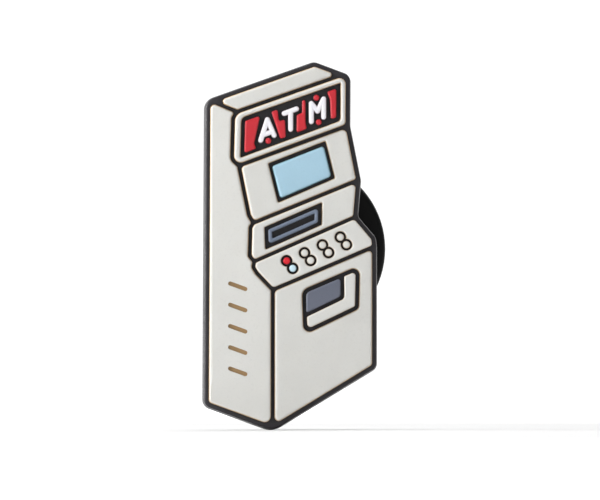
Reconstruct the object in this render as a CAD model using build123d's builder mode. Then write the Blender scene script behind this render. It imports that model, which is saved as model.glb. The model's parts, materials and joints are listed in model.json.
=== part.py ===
"""Push-in shoe charm: a flat moulded cabinet of a cash machine on a round snap-in plug.

The charm stands upright and faces -Y. Its drawing lies in the XZ plane: x to the right, z up,
with the origin on the plug's axis, at the flat back of the black base. Colour pads stand in
shallow seats on the front of the base, and the base shows between them as dark grooves.
Corners of the drawing are complex numbers, x + z*1j, and outlines run anticlockwise.
"""

import os
from cmath import phase
from math import degrees, radians, tan

from build123d import *

# ------------------------------------------------------------------ driving dimensions (mm)
# Heights above the back face
slab_thickness = 2.4  # black base, from its back face to the floor of the grooves
pad_height = 0.7  # pads, above the floor of the grooves
pad_seat = 0.25  # pads, sunk below that floor
pad_edge = 0.16  # rounding of a pad's front edge
trim_edge = 0.11  # rounding of the small pieces' front edges

# Widths of the dark lines
groove = 0.25  # between two neighbouring pads
rim = 0.33  # black border round all the pads
border = 0.28  # between the dispenser's window and the pieces inside it

side_fill = 0.98  # most of a straight side that its two corner arcs may take
strip_fill = 0.45  # most of a narrow strip's width that one rounded edge may take

# Black base
draft_angle = 3.0  # the side walls widen towards the back
base_front_edge = 0.14
base_back_edge = 0.25

# Cabinet in plan: the seam is the corner between its side and its front
seam_foot = -1.83 - 12.92j
side_width = 4.58
front_width = 7.235
side_left_height = 21.70  # left edge of the side, foot to peak
side_lean = 0.11  # foot of the left edge, left of its peak
side_foot_slope = -20.0  # degrees, all slopes rise to the right
front_foot_slope = 31.3
crown_slope = 19.6
brow_slope = -20.5  # short line that falls from the apex to the right
shoulder_drop = 0.16  # top line's end, below the peak of the side
apex_run = 7.58  # from the left edge to the apex

# Seam, from its foot upwards: what each stretch adds to the last corner
lower_rise = 0.01 + 9.84j
key_chamfer = -1.14 + 1.20j
key_nose = -0.25 + 0.41j
key_rise = 0.07 + 0.41j
slot_foot = -0.33 + 0.39j
slot_rise = 0.06 + 2.05j
slot_head = 0.20 + 0.31j
screen_foot = -0.32 + 0.57j
screen_rise = -0.71 + 3.53j
sign_foot = -0.49 + 0.44j
sign_rise = 0.08 + 3.00j
sign_head = 0.30 + 0.42j

# Lines between the front panels: slope in degrees, and how far each ends from the right edge
lower_slope, lower_setback = 23.2, 0.0
key_slope, key_setback = 23.8, 1.365
slot_slope, slot_setback = 22.3, 1.135
screen_slope, screen_setback = 20.3, 1.905
sign_slope, sign_setback = 19.4, 1.885
key_corner = -0.07 + 0.56j  # right-hand nose of the key panel, from the end of the lower line

# Windows: margins inside a panel, at the two ends of each side
screen_margins = [(0.64, 0.80), (1.59, 1.78), (0.455, 0.63), (2.07, 2.07)]
screen_borders = [(0.20, 0.20), (0.20, 0.20), (0.26, 0.26), (0.20, 0.20)]
slot_margins = [(0.46, 0.47), (2.37, 2.54), (0.43, 0.60), (0.78, 0.81)]
sign_bands = [0.38, 0.38, 0.38, 0.46]  # frame round the sign: below, right, above, left
ground_borders = [(0.18, 0.32), (0.28, 0.28), (0.26, 0.30), (0.25, 0.25)]  # round the ground
bezel_width = 0.28  # ring round the card slot

# Cash dispenser in the lower panel
dispenser_margins = [(0.0, 0.0), (1.07, 0.98), (0.85, 0.85), (2.09, 2.24)]
dispenser_depth_left = 4.29  # below the line above the panel
dispenser_depth_right = 3.94
flap_width = 2.47
flap_height_left = 1.47
flap_height_right = 1.33

# Keys: two rows of four on the key panel
key_diameter = 0.53
key_clearance = 0.145
key_columns = 4
key_row_start = 2.13  # first key, along the panel's top line from the seam
key_row_end = 1.52  # last key of the upper row, from the other end of that line
key_row_depth = 0.885  # upper row, below that line
key_row_pitch = 0.67
key_row_shift = 0.18  # lower row, further along

# Lettering of the sign: plain strokes
letter_height = 1.30
letter_stroke = 0.38
letter_counter = 0.24  # height of the opening in the A
letter_sink = 0.03  # centre of the letters, below the middle of the window
letter_a_offset = -1.66  # outer letters, from the middle one
letter_m_offset = 1.94
dot_diameter = 0.44
fill_corner = 0.14  # rounding of the coloured ground's corners

# Louvres in the side, in place of any marking
louvre_count = 5
louvre_length = 1.45
louvre_width = 0.30
louvre_depth = 0.18
louvre_pitch = 1.52
louvre_offset = -2.50 + 7.05j  # middle of the row, from the foot of the seam

# Snap-in plug
flange_diameter = 9.0
flange_thickness = 0.9
stem_diameter = 7.6
stem_length = 3.8
head_diameter = 13.0
head_thickness = 1.6
head_edge = 0.45
stem_fillet = 0.35


# ------------------------------------------------------------------ geometry of the drawing
def crossing(start_a, end_a, start_b, end_b):
    """Corner where two straight lines meet, each given by two corners."""
    along_a, along_b = end_a - start_a, end_b - start_b
    turn = (along_a.conjugate() * along_b).imag
    return start_a + along_a * ((start_b - start_a).conjugate() * along_b).imag / turn


def rise_to(start, x, slope):
    """Corner at x on the line through start that rises at a slope in degrees."""
    run = x - start.real
    return start + run * (1 + 1j * tan(radians(slope)))


def depth_below(corner, start, end):
    """Distance of a corner from the line through start and end, on its left-hand side."""
    along = (end - start) / abs(end - start)
    return (along.conjugate() * (corner - start)).imag


def inset(corners, margins):
    """Corners moved in by a margin along each side.

    The first side runs from the first corner to the second. A margin is one distance for
    all sides, or a list with one for each, where a pair gives the distances at its two ends.
    """
    if not isinstance(margins, list):
        margins = [(margins, margins)] * len(corners)
    sides = []
    for start, end, (near, far) in zip(corners, corners[1:] + corners[:1], margins):
        inward = 1j * (end - start) / abs(end - start)
        sides.append((start + near * inward, end + far * inward))
    return [crossing(*before, *after) for before, after in zip(sides[-1:] + sides, sides)]


# Seam, foot to head
seam_lower = seam_foot + lower_rise
seam_chamfer = seam_lower + key_chamfer
seam_nose = seam_chamfer + key_nose
seam_key = seam_nose + key_rise
seam_slot_foot = seam_key + slot_foot
seam_slot_head = seam_slot_foot + slot_rise
seam_slot = seam_slot_head + slot_head
seam_screen_foot = seam_slot + screen_foot
seam_screen = seam_screen_foot + screen_rise
seam_sign_foot = seam_screen + sign_foot
seam_sign_head = seam_sign_foot + sign_rise
seam_sign = seam_sign_head + sign_head

# Right-hand ends of the lines between the panels
right_x = seam_foot.real + front_width
left_x = seam_foot.real - side_width
end_foot = rise_to(seam_foot, right_x, front_foot_slope)
end_lower = rise_to(seam_lower, right_x - lower_setback, lower_slope)
end_nose = end_lower + key_corner
end_key = rise_to(seam_key, right_x - key_setback, key_slope)
end_slot = rise_to(seam_slot, right_x - slot_setback, slot_slope)
end_screen = rise_to(seam_screen, right_x - screen_setback, screen_slope)

# Side and crown
side_foot = rise_to(seam_foot, left_x - side_lean, side_foot_slope)
side_peak = side_foot + side_lean + side_left_height * 1j
shoulder = side_peak - shoulder_drop * 1j
apex = rise_to(shoulder, left_x + apex_run, crown_slope)
sign_line = rise_to(seam_sign, right_x, sign_slope)
brow = rise_to(apex, right_x - sign_setback, brow_slope)
end_sign = crossing(seam_sign, sign_line, apex, brow)
crown_tip = crossing(side_peak, seam_sign, shoulder, apex)

side_region = [
    side_foot, seam_foot, seam_lower, seam_chamfer, seam_nose, seam_key, seam_slot_foot,
    seam_slot_head, seam_slot, seam_screen_foot, seam_screen, seam_sign_foot, seam_sign_head,
    seam_sign, side_peak,
]
lower_region = [seam_foot, end_foot, end_lower, seam_lower]
key_region = [seam_lower, end_lower, end_nose, end_key, seam_key, seam_nose, seam_chamfer]
slot_region = [seam_key, end_key, end_slot, seam_slot, seam_slot_head, seam_slot_foot]
screen_region = [seam_slot, end_slot, end_screen, seam_screen, seam_screen_foot]
sign_corner = crossing(seam_sign, sign_line, end_screen, brow)
sign_region = [seam_screen, end_screen, sign_corner, seam_sign, seam_sign_head, seam_sign_foot]
crown_region = [seam_sign, end_sign, apex, crown_tip]
whole_region = [
    side_foot, seam_foot, end_foot, end_lower, end_nose, end_key, end_slot, end_screen, brow,
    apex, shoulder,
]

# Windows and what stands in them
gap = groove / 2  # from a line between two pads to either of them
screen_window = inset([seam_slot, end_slot, end_screen, seam_screen], screen_margins)
slot_window = inset([seam_key, end_key, end_slot, seam_slot], slot_margins)
sign_window = inset(
    [
        crossing(seam_sign_head, seam_sign_foot, seam_screen, end_screen),
        end_screen,
        sign_corner,
        crossing(seam_sign_head, seam_sign_foot, seam_sign, sign_corner),
    ],
    [(gap + band, gap + band) for band in sign_bands],
)
sign_ground = inset(sign_window, ground_borders)
dispenser_window = inset(
    [
        seam_lower - dispenser_depth_left * 1j, end_lower - dispenser_depth_right * 1j,
        end_lower, seam_lower,
    ],
    dispenser_margins,
)

# Cash flap in the dispenser's upper left corner, and the tray that wraps round it
opening = inset(dispenser_window, border)
flap_left, flap_top = opening[3], opening[2] - opening[3]
flap_right = flap_left + flap_top * flap_width / flap_top.real
flap = [
    flap_left - flap_height_left * 1j, flap_right - flap_height_right * 1j, flap_right, flap_left,
]
flap_gap = inset(flap, -groove)
tray_inner = crossing(flap_gap[0], flap_gap[1], flap_gap[1], flap_gap[2])
tray = [
    opening[0],
    opening[1],
    opening[2],
    crossing(flap_gap[1], flap_gap[2], opening[2], opening[3]),
    tray_inner,
    crossing(flap_gap[0], flap_gap[1], opening[3], opening[0]),
]

# Keys: along the key panel's top line, and square to it
key_along = (end_key - seam_key) / abs(end_key - seam_key)
key_run = abs(end_key - seam_key) - key_row_start - key_row_end
key_pitch = key_run / (key_columns - 1)


def key_centre(row, column):
    """Middle of one key."""
    along = key_row_start + column * key_pitch + row * key_row_shift
    across = key_row_depth + row * key_row_pitch
    return seam_key + key_along * (along - across * 1j)


# Keys stand in round holes. The panel's front edge leaves a flat strip between them and its foot
key_hole = key_diameter + 2 * key_clearance
key_strip = depth_below(key_centre(1, 0), seam_lower, end_lower) - key_hole / 2 - gap
key_panel_edge = min(trim_edge, strip_fill * key_strip)

# The slot's panel has narrow strips above and below its window
slot_strip = min(min(margin) for margin in slot_margins) - gap
slot_panel_edge = min(pad_edge, strip_fill * slot_strip)


# Lettering: strokes stand on the line that runs along the middle of the sign's window
letters_slope = tan(radians(screen_slope))
letters_middle = sum(sign_window) / len(sign_window)
letters_middle -= letter_sink * 1j


def on_sign(x, up, offset=0.0):
    """Corner of the sign's drawing: x from the middle letter plus an offset, up from the line."""
    return letters_middle + (x + offset) * (1 + 1j * letters_slope) + up * 1j


def at_edge(side, x, offset=0.0):
    """Corner on the foot (side 0) or the head (side 2) of the coloured ground, at a letter's x."""
    place = on_sign(x, 0.0, offset)
    return crossing(place, place + 1j, sign_ground[side], sign_ground[side + 1])


half = letter_height / 2
a_spread = 0.48  # of the A's feet, to each side
a_bar_reach = 0.36  # of its bar, to each side
a_point = letter_stroke / 2 * abs(a_spread + letter_height * 1j) / a_spread
a_bar = half - a_point - letter_counter - letter_stroke / 2
letter_strokes = {
    "letter_a": (letter_a_offset, [
        [(-a_spread, -half), (0.0, half), (a_spread, -half)],
        [(-a_bar_reach, a_bar), (a_bar_reach, a_bar)],
    ]),
    "letter_t": (0.0, [
        [(-0.46, half), (0.42, half)],
        [(0.0, half), (0.0, -half)],
    ]),
    "letter_m": (letter_m_offset, [
        [(-0.46, -half), (-0.46, half), (-0.02, -0.06), (0.42, half), (0.42, -half)],
    ]),
}
sign_fills = {
    "sign_fill_left": [
        sign_ground[0], at_edge(0, -0.80, letter_a_offset), on_sign(-0.93, -0.68, letter_a_offset),
        at_edge(2, -0.50, letter_a_offset), sign_ground[3],
    ],
    "sign_fill_a_t": [
        at_edge(0, 0.92, letter_a_offset), at_edge(0, -0.34), on_sign(-0.40, 0.22),
        on_sign(-0.84, 0.24), at_edge(2, -0.92), at_edge(2, 0.26, letter_a_offset),
    ],
    "sign_fill_t_m": [
        at_edge(0, 0.40), at_edge(0, 1.16), on_sign(1.07, -0.50), at_edge(2, 1.07),
        at_edge(2, 0.80), on_sign(0.80, 0.24), on_sign(0.42, 0.22),
    ],
    "sign_fill_right": [
        at_edge(0, 0.92, letter_m_offset), sign_ground[1], sign_ground[2],
        at_edge(2, 0.64, letter_m_offset), on_sign(0.86, 0.42, letter_m_offset),
    ],
}
sign_dots = {
    "sign_dot_low_a": on_sign(0.06, -0.89, letter_a_offset),
    "sign_dot_high_m": on_sign(-0.10, 0.93, letter_m_offset),
    "sign_dot_low_m": on_sign(0.06, -0.88, letter_m_offset),
}


# ------------------------------------------------------------------ building
def level(height):
    """Drawing plane at a height above the back face, facing the viewer."""
    return Plane.XZ.offset(height)


def pair(corner):
    """Corner as coordinates in a drawing plane."""
    return (corner.real, corner.imag)


def fitted(corners, radii):
    """Radii of an outline's corners, made smaller only where two arcs don't fit on a side."""
    if not isinstance(radii, list):
        radii = [radii] * len(corners)
    count = len(corners)
    sides = [corners[(index + 1) % count] - corners[index] for index in range(count)]
    turns = [abs(phase(sides[index] / sides[index - 1])) for index in range(count)]
    reach = [radius * tan(turn / 2) for radius, turn in zip(radii, turns)]
    room = [
        min(1, side_fill * abs(sides[index]) / (reach[index] + reach[(index + 1) % count]))
        for index in range(count)
    ]
    return [radius * min(room[index - 1], room[index]) for index, radius in enumerate(radii)]


def rounded_face(corners, radii, mode=Mode.ADD):
    """Face with straight sides and a rounded corner at each point."""
    with BuildLine() as outline:
        points = [pair(corner) for corner in corners]
        FilletPolyline(points, radius=fitted(corners, radii), close=True)
    make_face(outline.edges(), mode=mode)


def front_edges(piece):
    """Edges round the piece's front face."""
    return piece.faces().sort_by(Axis.Y)[0].edges()


def finish(piece, label):
    """Name a finished piece and write it."""
    piece.part.label = label
    export_step(piece.part, f"parts/{label}.step")
    pieces[label] = piece.part


def raised_pad(label, corners, radii, windows=(), holes=(), edge=pad_edge):
    """Flat pad with rounded front edges.

    Windows are (corners, radii) pairs, and holes are (centre, diameter) pairs.
    """
    with BuildPart() as pad:
        with BuildSketch(level(slab_thickness - pad_seat)):
            rounded_face(corners, radii)
            for window, window_radii in windows:
                rounded_face(window, window_radii, mode=Mode.SUBTRACT)
            for centre, diameter in holes:
                with Locations(pair(centre)):
                    Circle(diameter / 2, mode=Mode.SUBTRACT)
        extrude(amount=pad_seat + pad_height)
        fillet(front_edges(pad), edge)
    finish(pad, label)


def round_pad(label, centre, diameter):
    """Small round pad."""
    with BuildPart() as pad:
        with BuildSketch(level(slab_thickness - pad_seat)):
            with Locations(pair(centre)):
                Circle(diameter / 2)
        extrude(amount=pad_seat + pad_height)
        fillet(front_edges(pad), trim_edge)
    finish(pad, label)


os.makedirs("parts", exist_ok=True)
pieces = {}

# Panels round the outside of the drawing
with BuildPart() as side_panel:
    with BuildSketch(level(slab_thickness - pad_seat)):
        rounded_face(
            inset(side_region, gap),
            [0.30, 0.45, 0.18, 0.18, 0.40, 0.18, 0.20, 0.30, 0.18, 0.40, 0.18, 0.60, 0.60, 0.18, 0.30],
        )
    extrude(amount=pad_seat + pad_height)
    fillet(front_edges(side_panel), pad_edge)
    with BuildSketch(level(slab_thickness + pad_height)):
        for index in range(louvre_count):
            lift = (index - (louvre_count - 1) / 2) * louvre_pitch
            with Locations(pair(seam_foot + louvre_offset + lift * 1j)):
                SlotOverall(louvre_length, louvre_width, rotation=side_foot_slope)
    extrude(amount=-louvre_depth, mode=Mode.SUBTRACT)
finish(side_panel, "side_panel")

raised_pad("crown_panel", inset(crown_region, gap), [0.20, 0.20, 0.30, 0.25])
raised_pad(
    "sign_frame",
    inset(sign_region, gap),
    [0.62, 0.35, 0.45, 0.75, 0.75, 0.62],
    windows=[(sign_window, [0.08, 0.30, 0.06, 0.45])],
)
raised_pad(
    "screen_panel",
    inset(screen_region, gap),
    [0.25, 0.20, 0.35, 0.30, 0.30],
    windows=[(screen_window, 0.10)],
)
raised_pad("screen", inset(screen_window, screen_borders), [0.20, 0.25, 0.20, 0.20])
raised_pad(
    "slot_panel",
    inset(slot_region, gap),
    [0.20, 0.20, 0.25, 0.20, 0.25, 0.35],
    windows=[(slot_window, 0.08)],
    edge=slot_panel_edge,
)
raised_pad(
    "slot_bezel",
    inset(slot_window, groove),
    0.20,
    windows=[(inset(slot_window, groove + bezel_width), 0.06)],
    edge=trim_edge,
)
key_places = [(row, column) for column in range(key_columns) for row in range(2)]
raised_pad(
    "key_panel",
    inset(key_region, gap),
    [0.30, 0.20, 0.30, 0.30, 0.15, 0.30, 0.20],
    holes=[(key_centre(*place), key_hole) for place in key_places],
    edge=key_panel_edge,
)
raised_pad(
    "lower_panel",
    inset(lower_region, gap),
    [0.30, 0.30, 0.25, 0.40],
    windows=[(dispenser_window, [0.45, 0.40, 0.45, 0.65])],
)
raised_pad("cash_flap", flap, [0.13, 0.32, 0.18, 0.40], edge=trim_edge)
raised_pad("cash_tray", tray, [0.25, 0.20, 0.22, 0.15, 0.30, 0.12], edge=trim_edge)

# Keys, two of them coloured
key_names = ["key_red", "key_blue"] + [f"key_{number}" for number in range(3, 9)]
for key_name, place in zip(key_names, key_places):
    round_pad(key_name, key_centre(*place), key_diameter)

# Sign: coloured ground, dots and letters
for fill_name, corners in sign_fills.items():
    raised_pad(fill_name, corners, fill_corner, edge=trim_edge)
for dot_name, dot_place in sign_dots.items():
    round_pad(dot_name, dot_place, dot_diameter)
for letter_name, (offset, strokes) in letter_strokes.items():
    with BuildPart() as letter:
        with BuildSketch(level(slab_thickness - pad_seat)):
            for stroke in strokes:
                ends = [on_sign(*place, offset) for place in stroke]
                for start, end in zip(ends, ends[1:]):
                    with Locations(pair((start + end) / 2)):
                        turn = degrees(phase(end - start))
                        SlotCenterToCenter(abs(end - start), letter_stroke, rotation=turn)
        extrude(amount=pad_seat + pad_height)
        fillet(front_edges(letter), trim_edge)
    finish(letter, letter_name)

# Base with a seat for each pad, and a pocket for the plug's flange in its back
base_outline = inset(whole_region, gap - rim)
with BuildPart() as base:
    with BuildSketch(level(slab_thickness)):
        rounded_face(
            base_outline,
            [0.60, 1.40, 0.55, 0.60, 0.50, 0.60, 0.60, 0.60, 0.60, 0.60, 0.85],
        )
    extrude(amount=-slab_thickness, taper=-draft_angle)
    fillet(front_edges(base), base_front_edge)
    fillet(base.faces().sort_by(Axis.Y)[-1].edges(), base_back_edge)
    for pad in pieces.values():
        add(pad, mode=Mode.SUBTRACT)
    with BuildSketch(level(0)):
        Circle(flange_diameter / 2)
    extrude(amount=flange_thickness, mode=Mode.SUBTRACT)
finish(base, "base")

# Plug: flange in the base, stem through the hole, and the head behind it
with BuildPart() as plug:
    with BuildSketch(Plane.XY):
        with BuildLine():
            Polyline(
                (0, -flange_thickness),
                (flange_diameter / 2, -flange_thickness),
                (flange_diameter / 2, 0),
                (stem_diameter / 2, 0),
                (stem_diameter / 2, stem_length),
                (head_diameter / 2, stem_length),
                (head_diameter / 2, stem_length + head_thickness),
                (0, stem_length + head_thickness),
                close=True,
            )
        make_face()
    revolve(axis=Axis.Y)
    circles = plug.edges().filter_by(GeomType.CIRCLE)
    at_stem = circles.filter_by(lambda edge: abs(edge.radius - stem_diameter / 2) < stem_fillet)
    at_head = circles.filter_by(lambda edge: abs(edge.radius - head_diameter / 2) < head_edge)
    fillet(at_stem, stem_fillet)
    fillet(at_head, head_edge)
finish(plug, "plug")
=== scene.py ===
"""Looks of the push-in shoe charm: soft moulded pads on a black base, with its plug behind.

Places are in metres, as in the frame. Sizes given in millimetres are scaled by MM.
"""

import json
import math

import bmesh
import bpy
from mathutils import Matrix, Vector


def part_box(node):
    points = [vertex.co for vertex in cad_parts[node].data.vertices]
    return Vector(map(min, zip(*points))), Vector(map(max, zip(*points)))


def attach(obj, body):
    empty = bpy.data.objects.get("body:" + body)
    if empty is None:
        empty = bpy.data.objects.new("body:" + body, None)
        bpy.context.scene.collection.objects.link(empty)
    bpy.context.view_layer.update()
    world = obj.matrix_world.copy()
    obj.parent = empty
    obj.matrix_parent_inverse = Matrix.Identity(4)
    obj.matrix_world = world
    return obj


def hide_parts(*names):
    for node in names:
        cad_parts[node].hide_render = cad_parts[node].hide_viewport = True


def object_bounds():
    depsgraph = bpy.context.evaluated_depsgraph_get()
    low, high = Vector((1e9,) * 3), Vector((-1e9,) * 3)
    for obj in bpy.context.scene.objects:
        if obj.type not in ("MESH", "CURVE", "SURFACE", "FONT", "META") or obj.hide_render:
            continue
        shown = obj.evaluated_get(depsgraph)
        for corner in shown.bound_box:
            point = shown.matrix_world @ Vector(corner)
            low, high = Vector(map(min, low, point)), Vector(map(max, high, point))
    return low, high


MM = 0.001

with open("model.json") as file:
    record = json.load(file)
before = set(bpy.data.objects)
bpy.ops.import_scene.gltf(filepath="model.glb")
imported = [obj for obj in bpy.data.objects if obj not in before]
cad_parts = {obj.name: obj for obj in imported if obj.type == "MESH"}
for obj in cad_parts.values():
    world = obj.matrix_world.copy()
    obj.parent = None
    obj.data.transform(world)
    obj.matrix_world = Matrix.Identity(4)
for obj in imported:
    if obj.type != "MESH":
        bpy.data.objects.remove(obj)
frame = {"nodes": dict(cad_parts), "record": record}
cad_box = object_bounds()
nodes = frame["nodes"]
subparts = {part["node"]: part for part in frame["record"]["subparts"]}

pad_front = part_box("side_panel")[0].y
groove_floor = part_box("base")[0].y
floor_height = cad_box[0].z


# ------------------------------------------------------------------ camera
CAMERA_DISTANCE = 450  # mm, from the pads
CAMERA_FIELD = 42.86  # mm across the picture, at the pads
CAMERA_AIM_X, CAMERA_AIM_Z = 0.114, -0.243  # mm, middle of the picture at the pads
CAMERA_AZIMUTH, CAMERA_ELEVATION = -1.5, -1.2  # degrees
SENSOR_WIDTH = 36  # mm
CLIP_NEAR, CLIP_FAR = 0.01, 20  # m


def direction(azimuth, elevation):
    """Unit vector towards a viewer: azimuth 0 is in front, at -Y, and 90 is at +X."""
    azimuth, elevation = math.radians(azimuth), math.radians(elevation)
    level = math.cos(elevation)
    return Vector((math.sin(azimuth) * level, -math.cos(azimuth) * level, math.sin(elevation)))


def make_camera():
    """Long lens, almost square to the face, a little to the left and below."""
    target = Vector((CAMERA_AIM_X * MM, pad_front, CAMERA_AIM_Z * MM))
    back = direction(CAMERA_AZIMUTH, CAMERA_ELEVATION)
    data = bpy.data.cameras.new("camera")
    data.sensor_width = SENSOR_WIDTH
    data.lens = SENSOR_WIDTH * CAMERA_DISTANCE / CAMERA_FIELD
    data.clip_start, data.clip_end = CLIP_NEAR, CLIP_FAR
    camera = bpy.data.objects.new("camera", data)
    bpy.context.scene.collection.objects.link(camera)
    camera.location = target + back * CAMERA_DISTANCE * MM
    camera.rotation_mode = "QUATERNION"
    camera.rotation_quaternion = (-back).to_track_quat("-Z", "Y")
    bpy.context.scene.camera = camera


# ------------------------------------------------------------------ materials
NOISE_MIDDLE = (0.3, 0.7)  # where most of a noise's values lie
NOISE_PEAKS = (0.55, 0.75)

# Depths below a pad's front, in mm
EDGE_TINT_AND_SHADE_DEPTHS = (0.012, 0.08)  # the pad's edge takes on the wall's colour: partly the thin edge's tint over the black base, partly painted shade
PAINTED_SHADE_DEPTHS = (0.12, 0.17)  # painted shade: the wall darkens towards the groove
RECESS_TINT_AND_SHADE = 0.10  # the floor of a recess in a pad shows the tint and painted shade of this depth

PAINTED_SHADE_SHARE = 0.1  # of the wall's colour, where painted shade darkens the wall


def map_range(tree, source, low, high, to_low=0.0, to_high=1.0):
    """A node's output mapped from low..high to to_low..to_high, and clamped there."""
    node = tree.nodes.new("ShaderNodeMapRange")
    node.clamp = True
    limits = {"From Min": low, "From Max": high, "To Min": to_low, "To Max": to_high}
    for name, value in limits.items():
        node.inputs[name].default_value = value
    tree.links.new(source, node.inputs["Value"])
    return node.outputs["Result"]


def scaled(colour, share):
    """Colour made darker or lighter."""
    return tuple(share * value for value in colour)


class Shader:
    """A node material under construction."""

    def __init__(self, name):
        self.material = bpy.data.materials.new(name)
        self.material.use_nodes = True
        self.tree = self.material.node_tree
        self.bsdf = self.tree.nodes["Principled BSDF"]
        self.place = self.add("ShaderNodeTexCoord").outputs["Object"]

    def add(self, kind, **settings):
        node = self.tree.nodes.new(kind)
        for key, value in settings.items():
            setattr(node, key, value)
        return node

    def link(self, source, target):
        self.tree.links.new(source, target)

    def set(self, **values):
        """Uniform values on the shader's own sockets; underscores stand for spaces."""
        for name, value in values.items():
            self.bsdf.inputs[name.replace("_", " ")].default_value = value

    def noise(self, size, detail=3.0):
        """Noise whose features are about size millimetres across."""
        node = self.add("ShaderNodeTexNoise")
        node.inputs["Scale"].default_value = 1 / (size * MM)
        node.inputs["Detail"].default_value = detail
        self.link(self.place, node.inputs["Vector"])
        return node.outputs["Fac"]

    def remap(self, source, *limits):
        return map_range(self.tree, source, *limits)

    def mix(self, factor, *colours):
        """Mix two colours; each is a colour or another node's output."""
        node = self.add("ShaderNodeMix", data_type="RGBA")
        self.link(factor, node.inputs["Factor"])
        sockets = [socket for socket in node.inputs if socket.type == "RGBA"]
        for socket, colour in zip(sockets, colours):
            if isinstance(colour, tuple):
                socket.default_value = (*colour, 1)
            else:
                self.link(colour, socket)
        return next(socket for socket in node.outputs if socket.type == "RGBA")

    def colour(self, source):
        self.link(source, self.bsdf.inputs["Base Color"])

    def roughness(self, middle, spread, size):
        """Roughness that wanders about its middle value."""
        wander = self.remap(self.noise(size), *NOISE_MIDDLE, middle - spread, middle + spread)
        self.link(wander, self.bsdf.inputs["Roughness"])

    def bump(self, height, distance):
        """Fine relief: distance is its height in mm."""
        node = self.add("ShaderNodeBump")
        node.inputs["Distance"].default_value = distance * MM
        self.link(height, node.inputs["Height"])
        self.link(node.outputs["Normal"], self.bsdf.inputs["Normal"])


def screen_colour(red, green, blue):
    """Linear colour of an 8-bit screen colour."""
    def linear(value):
        value /= 255
        return value / 12.92 if value <= 0.04045 else ((value + 0.055) / 1.055) ** 2.4
    return tuple(linear(value) for value in (red, green, blue))


def soft_pad(name, colour, wall):
    """Soft coloured moulding, mottled a little; its edges take the darker wall colour, part tint
    and part painted shade, and painted shade darkens its walls.
    """
    shader = Shader(name)
    mottle = shader.remap(shader.noise(size=2.2), *NOISE_MIDDLE)
    speckle = shader.remap(shader.noise(size=0.16), *NOISE_PEAKS)
    face = shader.mix(mottle, colour, scaled(colour, 0.96))
    face = shader.mix(speckle, face, scaled(colour, 0.93))
    depth = shader.add("ShaderNodeAttribute", attribute_name="wall_depth").outputs["Fac"]
    # part tint, part painted shade: the edge turns to the darker wall colour
    tinted_and_shaded = shader.mix(shader.remap(depth, *EDGE_TINT_AND_SHADE_DEPTHS), face, wall)
    # painted shade: the wall goes dark deeper in the groove
    shader.colour(shader.mix(shader.remap(depth, *PAINTED_SHADE_DEPTHS), tinted_and_shaded, scaled(wall, PAINTED_SHADE_SHARE)))
    shader.roughness(middle=0.40, spread=0.05, size=0.35)
    shader.set(
        Specular_IOR_Level=0.5, Subsurface_Weight=0.12, Subsurface_Scale=0.2 * MM,
        Subsurface_Radius=(1.0, 0.85, 0.7),
    )
    shader.bump(shader.noise(size=0.18, detail=4), distance=0.003)
    return shader.material


def black_moulding(name, colour, roughness, grain, sheen):
    """Black moulding, mottled and finely grained; sheen is its specular level."""
    shader = Shader(name)
    mottle = shader.remap(shader.noise(size=1.5), *NOISE_MIDDLE)
    shader.colour(shader.mix(mottle, colour, scaled(colour, 1.5)))
    shader.roughness(roughness, spread=0.06, size=0.4)
    shader.set(Specular_IOR_Level=sheen)
    shader.bump(shader.noise(grain, detail=4), distance=0.006)
    return shader.material


TAN = screen_colour(168, 136, 92)
DARK_RED = (0.09, 0.0, 0.004)
CHARCOAL = screen_colour(60, 64, 76)
pad_colours = {  # face and wall: each wall colour, darker than its face, is partly the thin edge's own tint and partly painted shade
    "cream_pad": ((0.655, 0.652, 0.624), TAN),
    "sign_red": (screen_colour(196, 26, 42), DARK_RED),
    "letter_white": ((0.84, 0.83, 0.87), (0.30, 0.22, 0.24)),
    "screen_blue": (screen_colour(162, 197, 215), screen_colour(90, 130, 140)),
    "bezel_grey": (screen_colour(106, 117, 136), CHARCOAL),
    "flap_grey": (screen_colour(97, 102, 117), CHARCOAL),
    "key_red": (screen_colour(212, 14, 34), DARK_RED),
    "key_blue": (screen_colour(196, 224, 236), screen_colour(60, 80, 90)),
}
materials = {name: soft_pad(name, *colours) for name, colours in pad_colours.items()}
materials["base_black"] = black_moulding(
    "base_black", (0.017, 0.015, 0.018), roughness=0.42, grain=0.2, sheen=0.4,
)
materials["plug_black"] = black_moulding(
    "plug_black", (0.003, 0.003, 0.003), roughness=0.45, grain=0.3, sheen=0.12,
)


# ------------------------------------------------------------------ soft pads
MERGE_REACH = 0.0005 * MM  # double corners of a mesh lie closer than this
FRONT_REACH = 0.001 * MM  # faces this close to a pad's front belong to it
CUT_REACH = 0.002 * MM  # a cut snaps to corners this close
GRID_STEPS = 4  # over the reach of a pad's edge
RECESS_MARGIN = 1.05  # of the edge's rounding: what is deeper, above the groove, is a recess
SHARP_ANGLE = math.radians(40)


def in_order(things):
    """Things without repeats, in the order in which they come."""
    return list(dict.fromkeys(things))


def cut_front(pad, low, high, grid):
    """Cut a pad's flat front into a grid, so that its shading bends only next to its outline."""
    front = [face for face in pad.faces if face.calc_center_median().y < low.y + FRONT_REACH]
    flat = [
        *front,
        *in_order(line for face in front for line in face.edges),
        *in_order(vert for face in front for vert in face.verts),
    ]
    for axis in (Vector((1, 0, 0)), Vector((0, 0, 1))):
        start, length = low.dot(axis), (high - low).dot(axis)
        for index in range(1, math.ceil(length / grid)):
            place = axis * (start + index * grid)
            cut = bmesh.ops.bisect_plane(
                pad, geom=flat, dist=CUT_REACH, plane_co=place, plane_no=axis,
            )
            flat = cut["geom"]


def stand_in(label, mesh):
    """Put a mesh in the place of a pad."""
    mesh.materials.append(materials[subparts[label]["material_slot"]])
    piece = bpy.data.objects.new(f"soft_{label}", mesh)
    bpy.context.scene.collection.objects.link(piece)
    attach(piece, "root")
    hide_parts(label)


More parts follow.
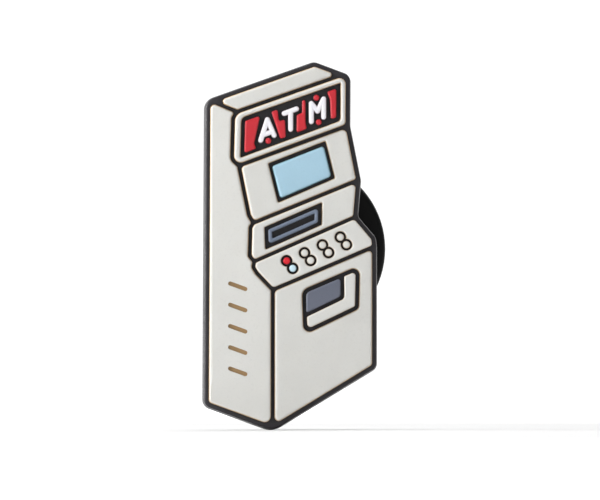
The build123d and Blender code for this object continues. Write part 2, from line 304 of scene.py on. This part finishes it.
def soft_copy(label, edge, reach, fall, lean=0.0):
    """Soft copy of a pad: its front lies lower by fall, and its rounded edge falls off faster.

    Edge is the rounding of the pad's front edge. The shorter the reach, the faster the rounded
    edge falls off, and the finer the grid on the front. Lean is how much lower the left edge is
    than the right edge (less than nothing: the right edge is lower). All are in millimetres.
    """
    edge, reach, fall, lean = edge * MM, reach * MM, fall * MM, lean * MM
    low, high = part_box(label)
    pad = bmesh.new()
    pad.from_mesh(nodes[label].data)
    wall_depth = pad.verts.layers.float.new("wall_depth")
    bmesh.ops.remove_doubles(pad, verts=pad.verts, dist=MERGE_REACH)
    cut_front(pad, low, high, reach / GRID_STEPS)

    slope = 2 * fall / reach
    wall = groove_floor - low.y
    for vert in pad.verts:
        depth = vert.co.y - low.y
        recessed = RECESS_MARGIN * edge < depth < wall
        # a recess floor takes the tint and painted shade of a wall's edge
        vert[wall_depth] = RECESS_TINT_AND_SHADE if recessed else depth / MM
        across = (vert.co.x - low.x) / (high.x - low.x)
        tilt = max(lean * (1 - across), -lean * across)
        if depth < edge:
            out = math.sqrt(max(0.0, edge ** 2 - (edge - depth) ** 2))
            vert.co.y += tilt + fall + slope * out * (1 - out / edge)
        elif depth < wall:
            vert.co.y += (tilt + fall) * (wall - depth) / (wall - edge)

    bmesh.ops.triangulate(pad, faces=[face for face in pad.faces if len(face.verts) > 4])
    for line in pad.edges:
        line.smooth = line.calc_face_angle(0) < SHARP_ANGLE
    for face in pad.faces:
        face.smooth = True
    mesh = bpy.data.meshes.new(f"soft_{label}")
    pad.to_mesh(mesh)
    pad.free()
    stand_in(label, mesh)


# Rounding of the pads' front edges, as in the model
PAD_EDGE, TRIM_EDGE, SLOT_PANEL_EDGE = 0.16, 0.11, 0.137

PANEL = {"edge": PAD_EDGE, "reach": 0.60, "fall": 0.06}
TRIM = {"edge": TRIM_EDGE, "reach": 0.30, "fall": 0.04}
SMALL = {"edge": TRIM_EDGE, "reach": 0.22, "fall": 0.05}

soft_copy("side_panel", **PANEL, lean=0.18)
soft_copy("crown_panel", **PANEL, lean=-0.20)
soft_copy("screen_panel", **PANEL, lean=-0.10)
soft_copy("slot_panel", edge=SLOT_PANEL_EDGE, reach=0.45, fall=0.05, lean=-0.10)
soft_copy("lower_panel", **PANEL, lean=-0.10)
soft_copy("screen", **PANEL)
soft_copy("sign_frame", edge=PAD_EDGE, reach=0.20, fall=0.03)
soft_copy("key_panel", edge=TRIM_EDGE, reach=0.45, fall=0.05)
for label in ("cash_tray", "cash_flap", "slot_bezel"):
    soft_copy(label, **TRIM)
for label in subparts:
    small = label.startswith(("sign_fill", "sign_dot", "letter", "key_"))
    if small and label != "key_panel":
        soft_copy(label, **SMALL)
for label in ("base", "plug"):
    nodes[label].data.materials.clear()
    nodes[label].data.materials.append(materials[subparts[label]["material_slot"]])


# ------------------------------------------------------------------ stage and light
FLOOR_RADIUS = 3  # m
FLOOR_GLOW = 0.85  # the far floor glows, so that it is as white as the room; near the charm it doesn't, which paints a shade round it
GLOW_START, GLOW_FULL = 60 * MM, 240 * MM  # distances from the charm over which the glow fades in and the painted shade ends
HORIZON = 1.1  # brightness of the room at the horizon and behind the charm


def make_floor():
    """Pale floor under the charm's lowest point: it glows far off but not near the charm, a
    painted shade round it.
    """
    shader = Shader("floor")
    mottle = shader.remap(shader.noise(size=60), *NOISE_MIDDLE)
    shader.colour(shader.mix(mottle, (0.80, 0.80, 0.80), (0.78, 0.78, 0.78)))
    reach = shader.add("ShaderNodeVectorMath", operation="LENGTH")
    shader.link(shader.place, reach.inputs[0])
    # painted shade: no glow within GLOW_START of the charm
    glow = shader.remap(reach.outputs["Value"], GLOW_START, GLOW_FULL, 0.0, FLOOR_GLOW)
    shader.link(glow, shader.bsdf.inputs["Emission Strength"])
    shader.set(Roughness=0.9, Emission_Color=(1, 1, 1, 1))
    bpy.ops.mesh.primitive_circle_add(
        vertices=96, radius=FLOOR_RADIUS, fill_type="NGON", location=(0, 0, floor_height),
    )
    floor = bpy.context.object
    floor.name = "floor"
    floor.data.materials.append(shader.material)


def soft_box(name, azimuth, elevation, distance, size, power):
    """Rectangular lamp that faces the charm: angles in degrees, lengths in mm, power in watts."""
    data = bpy.data.lights.new(name, "AREA")
    data.shape = "RECTANGLE"
    data.size, data.size_y = (side * MM for side in size)
    data.energy = power
    light = bpy.data.objects.new(name, data)
    bpy.context.scene.collection.objects.link(light)
    towards = direction(azimuth, elevation)
    light.location = towards * distance * MM
    light.rotation_mode = "QUATERNION"
    light.rotation_quaternion = (-towards).to_track_quat("-Z", "Y")
    light.visible_camera = False


def make_world():
    """White horizon and back wall; the rest is darker, and darkest on the right."""
    world = bpy.data.worlds.new("world")
    world.use_nodes = True
    tree = world.node_tree
    background = tree.nodes["Background"]
    place = tree.nodes.new("ShaderNodeTexCoord").outputs["Generated"]
    parts = tree.nodes.new("ShaderNodeSeparateXYZ")
    tree.links.new(place, parts.inputs["Vector"])
    brightest = map_range(tree, parts.outputs["X"], -0.6, 0.8, to_low=0.45, to_high=0.15)
    for strength in (
        map_range(tree, parts.outputs["Y"], 0.75, 0.97, to_low=0.0, to_high=HORIZON),
        map_range(tree, parts.outputs["Z"], 0.05, 0.12, to_low=HORIZON, to_high=0.0),
    ):
        node = tree.nodes.new("ShaderNodeMath")
        node.operation = "MAXIMUM"
        tree.links.new(brightest, node.inputs[0])
        tree.links.new(strength, node.inputs[1])
        brightest = node.outputs[0]
    tree.links.new(brightest, background.inputs["Strength"])
    background.inputs["Color"].default_value = (1, 1, 1, 1)
    bpy.context.scene.world = world


make_camera()
make_floor()
make_world()
soft_box("key", azimuth=-40, elevation=15, distance=180, size=(90, 90), power=0.09)
soft_box("left_strip", azimuth=-84, elevation=8, distance=220, size=(60, 200), power=0.8)
soft_box("top_strip", azimuth=-15, elevation=82, distance=220, size=(200, 60), power=0.2)
soft_box("back_fill", azimuth=150, elevation=40, distance=400, size=(400, 400), power=0.8)
bpy.context.scene.view_settings.view_transform = "Standard"
